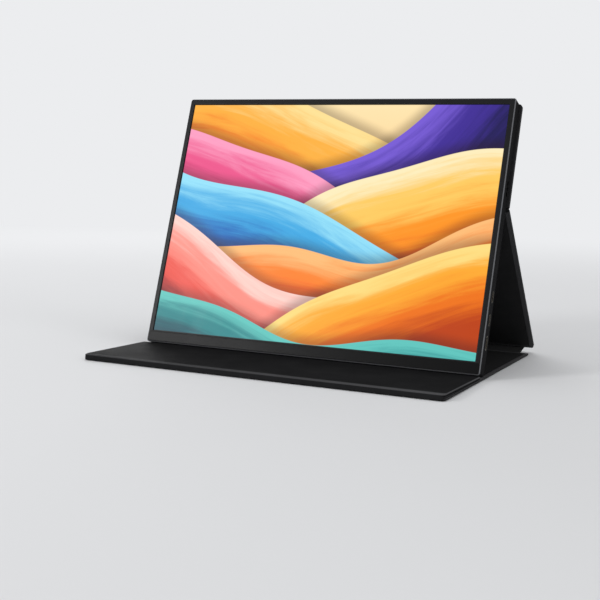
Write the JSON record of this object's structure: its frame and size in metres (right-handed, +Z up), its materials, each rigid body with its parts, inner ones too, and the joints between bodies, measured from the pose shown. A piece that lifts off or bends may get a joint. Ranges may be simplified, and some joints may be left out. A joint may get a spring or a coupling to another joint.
{
  "type": "portable monitor with folio cover",
  "caption": "Slim flat monitor leaning back on its own leather-look folio: front flap with a raised stop pad, folding rear leg, magnetic upper panel, side sockets and small side keys.",
  "frame": {"origin": "on the table, under the middle of the standing object's outline", "axes": "+X across to the right of the screen, +Y from the flap's front edge to the back, +Z up"},
  "size_m": [0.3236, 0.273, 0.2314],
  "materials": {
    "leather": "black fine-grain leather-look sheet, low sheen",
    "lining": "black brushed microfibre",
    "stiff_board": "pressed fibre board",
    "grip": "matte silicone",
    "magnet": "nickel plated",
    "housing": "dark anodised, satin, bright bevel at the front edge",
    "bezel": "black, satin",
    "chin": "dark grey, satin",
    "tape": "black foam tape",
    "screen": "lit picture under matt glass",
    "white_sheet": "white film",
    "guide": "clear acrylic",
    "plate": "thin pressed sheet",
    "panel_plastic": "white moulded",
    "led": "lamp strip",
    "socket": "plated shell",
    "key": "black, moulded",
    "circuit": "green solder mask",
    "chip": "black epoxy",
    "ribbon": "amber film",
    "speaker": "black moulded",
    "screw": "blackened steel"
  },
  "bodies": {
    "base": {"base_outer_skin": "leather", "base_board": "stiff_board", "base_lining": "lining", "grip_strip": "grip", "front_pad_skin": "leather", "front_pad_board": "stiff_board", "front_pad_magnets": "magnet"},
    "spine": {"spine_skin": "leather", "spine_lining": "lining", "rear_fold_skin": "leather"},
    "leg": {"leg_outer_skin": "leather", "leg_board": "stiff_board", "leg_lining": "lining", "leg_fold_skin": "leather"},
    "upper_panel": {"upper_outer_skin": "leather", "upper_board": "stiff_board", "upper_lining": "lining", "upper_magnets": "magnet", "mid_fold_skin": "leather"},
    "power_key": {"power_key": "key"},
    "menu_key": {"menu_key": "key"},
    "volume_key": {"volume_key": "key"},
    "monitor": {"rear_housing": "housing", "front_bezel": "bezel", "chin_bar": "chin", "bezel_tape": "tape", "lcd_cell": "screen", "diffuser_sheets": "white_sheet", "light_guide": "guide", "reflector_sheet": "white_sheet", "led_bar": "led", "panel_frame": "panel_plastic", "panel_backplate": "plate", "usb_c_upper": "socket", "usb_c_lower": "socket", "mini_video_socket": "socket", "key_switches": "chip", "key_board": "circuit", "main_board": "circuit", "board_screws": "screw", "board_chips": "chip", "panel_driver_board": "circuit", "panel_ribbon": "ribbon", "speaker_left": "speaker", "speaker_right": "speaker", "keeper_plate": "plate", "panel_posts": "screw", "housing_screws": "screw"}
  },
  "joints": [
    {"name": "rear_fold", "type": "hinge", "parent": "base", "child": "spine", "pos_m": [0, 0.11723, 0], "axis": [-1, 0, 0], "range_deg": [0, 12.3], "deforming": ["rear_fold_skin"]},
    {"name": "leg_fold", "type": "hinge", "parent": "spine", "child": "leg", "pos_m": [0, 0.13647, 0.0042], "axis": [-1, 0, 0], "range_deg": [0, 118.63], "deforming": ["leg_fold_skin"]},
    {"name": "mid_fold", "type": "hinge", "parent": "leg", "child": "upper_panel", "pos_m": [0, 0.02057, 0.13786], "axis": [1, 0, 0], "range_deg": [0, 59.03], "deforming": ["mid_fold_skin"]},
    {"name": "monitor_lift", "type": "slide", "parent": "upper_panel", "child": "monitor", "axis": [0, 0.3107, 0.9505], "range_m": [0, 0.03]},
    {"name": "power_key_press", "type": "slide", "parent": "monitor", "child": "power_key", "axis": [-1, 0, 0], "range_m": [0, 0.0004], "stiffness_N_per_m": 900, "springref_m": -0.0006},
    {"name": "menu_key_press", "type": "slide", "parent": "monitor", "child": "menu_key", "axis": [-1, 0, 0], "range_m": [0, 0.0004], "stiffness_N_per_m": 900, "springref_m": -0.0006},
    {"name": "volume_key_press", "type": "slide", "parent": "monitor", "child": "volume_key", "axis": [-1, 0, 0], "range_m": [0, 0.0004], "stiffness_N_per_m": 900, "springref_m": -0.0006}
  ],
  "couplings": [
    {"joint": "leg_fold", "follows": "rear_fold", "ratio": 9.6448},
    {"joint": "mid_fold", "follows": "rear_fold", "ratio": 4.7993}
  ]
}
